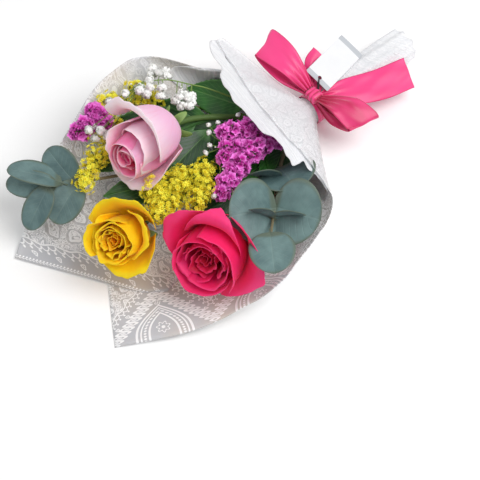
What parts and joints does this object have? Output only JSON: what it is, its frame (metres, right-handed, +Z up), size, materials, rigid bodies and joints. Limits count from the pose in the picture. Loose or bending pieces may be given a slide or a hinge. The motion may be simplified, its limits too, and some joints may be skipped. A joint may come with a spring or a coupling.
{
  "type": "rose bouquet",
  "caption": "Small hand-tied rose bouquet lying on its back, wrapped in printed film and tissue, with a satin bow, a card, eucalyptus and filler flowers.",
  "frame": {"origin": "on the table, below the centre of the object's bounding box", "axes": "+Y along the stems towards their cut ends, with the flowers towards -Y; +Z up from the table; +X to the right of someone who stands at the stems and looks at the flowers' backs, so the magenta rose and its eucalyptus are at +X"},
  "size_m": [0.2654, 0.444, 0.1227],
  "materials": {
    "pink_petal": "satin petal",
    "yellow_petal": "satin petal",
    "magenta_petal": "satin petal",
    "stem_green": "matt green stem",
    "leaf_green": "waxy leaf",
    "eucalyptus_leaf": "matt glaucous leaf",
    "goldenrod": "matt florets",
    "statice": "papery florets",
    "gypsophila": "matt florets",
    "printed_film": "translucent printed film",
    "tissue": "matt tissue",
    "satin_ribbon": "satin",
    "card": "matt card",
    "black_elastic": "woven elastic",
    "tie_band": "matt band"
  },
  "bodies": {
    "root": {"bow_loop_left": "satin_ribbon", "bow_loop_right": "satin_ribbon", "card_elastic": "black_elastic", "eucalyptus_left_leaf_1": "eucalyptus_leaf", "eucalyptus_left_leaf_2": "eucalyptus_leaf", "eucalyptus_left_leaf_3": "eucalyptus_leaf", "eucalyptus_left_leaf_4": "eucalyptus_leaf", "eucalyptus_left_leaf_5": "eucalyptus_leaf", "eucalyptus_left_stem": "stem_green", "eucalyptus_right_leaf_1": "eucalyptus_leaf", "eucalyptus_right_leaf_2": "eucalyptus_leaf", "eucalyptus_right_leaf_3": "eucalyptus_leaf", "eucalyptus_right_leaf_4": "eucalyptus_leaf", "eucalyptus_right_leaf_5": "eucalyptus_leaf", "eucalyptus_right_leaf_6": "eucalyptus_leaf", "eucalyptus_right_leaf_7": "eucalyptus_leaf", "eucalyptus_right_stem": "stem_green", "film_sheet_left": "printed_film", "film_sheet_right": "printed_film", "gift_card": "card", "goldenrod_back": "goldenrod", "goldenrod_centre": "goldenrod", "goldenrod_left": "goldenrod", "gypsophila_left": "gypsophila", "gypsophila_right": "gypsophila", "magenta_rose_calyx": "stem_green", "magenta_rose_heart": "magenta_petal", "magenta_rose_petal_1": "magenta_petal", "magenta_rose_petal_2": "magenta_petal", "magenta_rose_petal_3": "magenta_petal", "magenta_rose_petal_4": "magenta_petal", "magenta_rose_stem": "stem_green", "pink_rose_calyx": "stem_green", "pink_rose_heart": "pink_petal", "pink_rose_petal_1": "pink_petal", "pink_rose_petal_2": "pink_petal", "pink_rose_petal_3": "pink_petal", "pink_rose_petal_4": "pink_petal", "pink_rose_stem": "stem_green", "ribbon_band": "satin_ribbon", "ribbon_knot": "satin_ribbon", "ribbon_tail_long": "satin_ribbon", "ribbon_tail_short": "satin_ribbon", "rose_leaf_large": "leaf_green", "rose_leaf_left": "leaf_green", "rose_leaf_middle": "leaf_green", "rose_leaf_right": "leaf_green", "rose_leaf_small": "leaf_green", "statice_left": "statice", "statice_right": "statice", "tie_band": "tie_band", "tissue_sheet": "tissue", "yellow_rose_calyx": "stem_green", "yellow_rose_heart": "yellow_petal", "yellow_rose_petal_1": "yellow_petal", "yellow_rose_petal_2": "yellow_petal", "yellow_rose_petal_3": "yellow_petal", "yellow_rose_petal_4": "yellow_petal", "yellow_rose_stem": "stem_green"}
  },
  "joints": []
}
